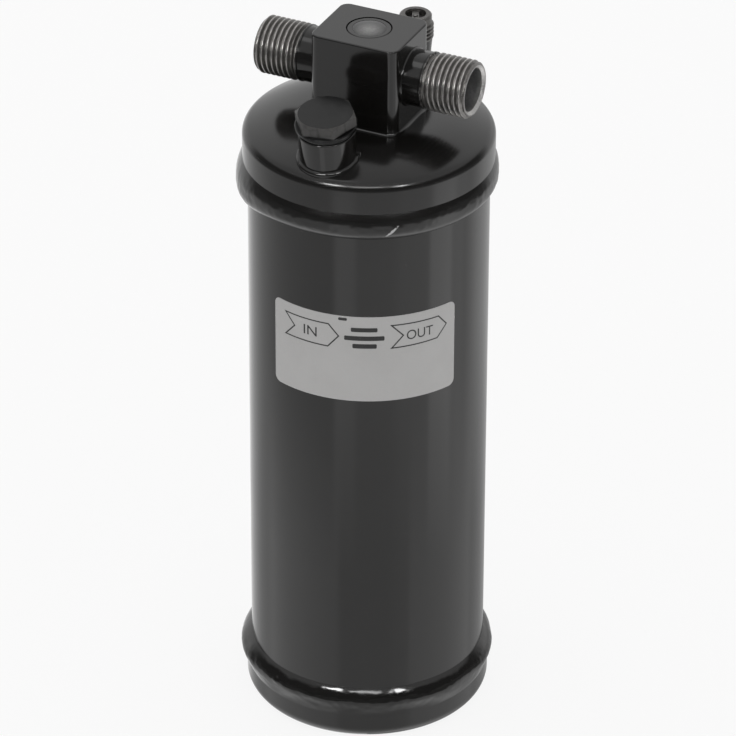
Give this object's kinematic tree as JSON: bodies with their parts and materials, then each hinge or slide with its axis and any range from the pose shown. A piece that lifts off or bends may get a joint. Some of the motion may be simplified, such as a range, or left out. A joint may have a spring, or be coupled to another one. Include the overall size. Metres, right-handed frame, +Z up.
{
  "type": "filter drier",
  "caption": "Sealed black steel can that filters and dries refrigerant, with a drilled head block, threaded side ports, a sight glass, a plugged port and a charge valve.",
  "frame": {"origin": "middle of the ring the can stands on, on the can's axis", "axes": "+Z up along the can, +X towards the outlet fitting (the inlet faces -X), -Y towards the front with the plugged port"},
  "size_m": [0.0824, 0.0824, 0.2402],
  "materials": {
    "black_paint": "semi-gloss black paint, slightly lumpy over the welds",
    "bare_thread": "thin worn paint over cut steel threads",
    "label_sheet": "light grey printed sheet",
    "glass": "clear crowned glass",
    "rubber": "smooth black sealing rubber",
    "brass": "turned brass",
    "steel": "plain drawn steel",
    "spring_steel": "drawn spring wire",
    "felt": "pressed filter fibre",
    "desiccant": "packed drying beads"
  },
  "bodies": {
    "canister": {"shell_tube": "black_paint", "top_cap": "black_paint", "bottom_cap": "black_paint", "top_weld_bead": "black_paint", "bottom_weld_bead": "black_paint", "label": "label_sheet", "head_block": "black_paint", "block_braze": "black_paint", "inlet_fitting": "bare_thread", "inlet_braze": "black_paint", "outlet_fitting": "bare_thread", "outlet_braze": "black_paint", "sight_glass_ring": "black_paint", "sight_glass_lens": "glass", "sight_glass_seal": "rubber", "plug_boss": "black_paint", "boss_braze": "black_paint", "port_plug": "black_paint", "plug_seal": "rubber", "charge_valve_body": "bare_thread", "valve_braze": "black_paint", "valve_core": "brass", "valve_core_seal": "rubber", "valve_spring": "spring_steel", "pickup_tube": "steel", "pickup_strainer": "steel", "lower_screen": "steel", "lower_pad": "felt", "drying_bed": "desiccant", "upper_pad": "felt", "upper_screen": "steel", "hold_down_spring": "spring_steel"},
    "valve_pin": {"valve_pin": "brass", "valve_pin_seal": "rubber"}
  },
  "joints": [
    {"name": "valve_pin_slide", "type": "slide", "parent": "canister", "child": "valve_pin", "axis": [0, 0, -1], "range_m": [0, 0.0012], "stiffness_N_per_m": 2000, "springref_m": -0.002, "deforming": ["valve_spring"]}
  ]
}
